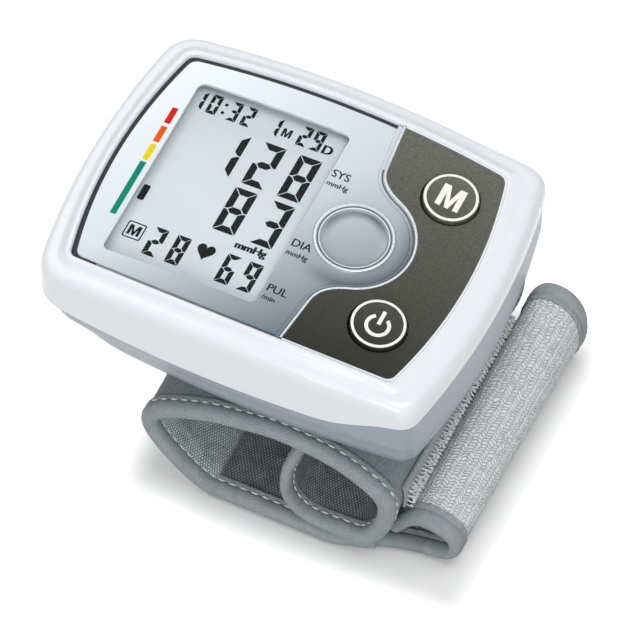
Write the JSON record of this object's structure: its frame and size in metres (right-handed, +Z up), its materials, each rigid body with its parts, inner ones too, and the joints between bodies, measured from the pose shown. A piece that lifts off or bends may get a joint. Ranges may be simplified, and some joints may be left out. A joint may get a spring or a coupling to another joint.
{
  "type": "wrist blood pressure monitor",
  "caption": "Wrist blood pressure monitor: an arched case with a large display, round memory and power buttons and a battery door, standing on its closed padded cuff with a hook-and-loop strap.",
  "frame": {"origin": "on the table, on the flat of the cuff under the middle of the wrist loop", "axes": "+X along the case from the display to the buttons, +Y along the wrist away from the reader, +Z up"},
  "size_m": [0.0859, 0.0632, 0.0572],
  "materials": {
    "white_abs": "glossy moulded",
    "silver_abs": "silver painted satin",
    "fascia_silver": "brushed silver print",
    "dark_panel": "fine textured metallic paint",
    "clear_lens": "clear polished",
    "display_glass": "grey liquid crystal",
    "grey_plastic": "moulded",
    "black_plastic": "moulded",
    "board_laminate": "solder mask",
    "steel": "plated",
    "cell_jacket": "printed sleeve",
    "rubber": "matt",
    "felt": "brushed felt",
    "knit": "fine knit",
    "binding_tape": "woven tape",
    "loop_pile": "loop pile"
  },
  "bodies": {
    "case": {"top_cover": "white_abs", "bottom_case": "silver_abs", "fascia_panel": "fascia_silver", "button_panel": "dark_panel", "display_lens": "clear_lens", "display_module": "display_glass", "display_holder": "grey_plastic", "contact_strip": "rubber", "memory_switch": "black_plastic", "power_switch": "black_plastic", "main_board": "board_laminate", "controller_chip": "black_plastic", "buzzer": "black_plastic", "board_screw_1": "steel", "board_screw_2": "steel", "case_screw_1": "steel", "case_screw_2": "steel", "case_screw_3": "steel", "case_screw_4": "steel", "battery_tray": "black_plastic", "battery_1": "cell_jacket", "battery_2": "cell_jacket", "spring_contact_1": "steel", "spring_contact_2": "steel", "plate_contact_1": "steel", "plate_contact_2": "steel", "pump_motor": "steel", "pump_head": "black_plastic", "air_manifold": "grey_plastic", "air_tube": "rubber", "pressure_sensor": "black_plastic", "sensor_seal": "rubber", "release_valve": "steel", "cuff_nozzle": "grey_plastic", "cuff_plate": "grey_plastic", "cuff_cover": "felt", "stiffener": "black_plastic", "air_bladder": "rubber", "cuff_liner": "knit", "cuff_binding": "binding_tape", "hook_tape": "loop_pile", "strap_base": "loop_pile"},
    "memory_key": {"memory_button": "dark_panel", "memory_plunger": "black_plastic"},
    "power_key": {"power_button": "dark_panel", "power_plunger": "black_plastic"},
    "battery_door": {"battery_cover": "silver_abs"},
    "pump_shaft": {"motor_shaft": "steel"},
    "valve_stem": {"valve_plunger": "steel"},
    "strap_end": {"strap_flap": "loop_pile"}
  },
  "joints": [
    {"name": "memory_press", "type": "slide", "parent": "case", "child": "memory_key", "axis": [-0.1019, 0, -0.9948], "range_m": [0, 0.0005], "stiffness_N_per_m": 1500},
    {"name": "power_press", "type": "slide", "parent": "case", "child": "power_key", "axis": [-0.1019, 0, -0.9948], "range_m": [0, 0.0005], "stiffness_N_per_m": 1500},
    {"name": "battery_door_slide", "type": "slide", "parent": "case", "child": "battery_door", "axis": [-1, 0, 0], "range_m": [0, 0.03]},
    {"name": "pump_spin", "type": "hinge", "parent": "case", "child": "pump_shaft", "pos_m": [-0.005, 0, 0.0399], "axis": [0, 1, 0], "continuous": true},
    {"name": "valve_lift", "type": "slide", "parent": "case", "child": "valve_stem", "axis": [1, 0, 0], "range_m": [0, 0.0008], "stiffness_N_per_m": 300},
    {"name": "strap_peel", "type": "hinge", "parent": "case", "child": "strap_end", "pos_m": [0.0347, 0.0025, 0.008], "axis": [0, 1, 0], "range_deg": [0, 135]}
  ]
}
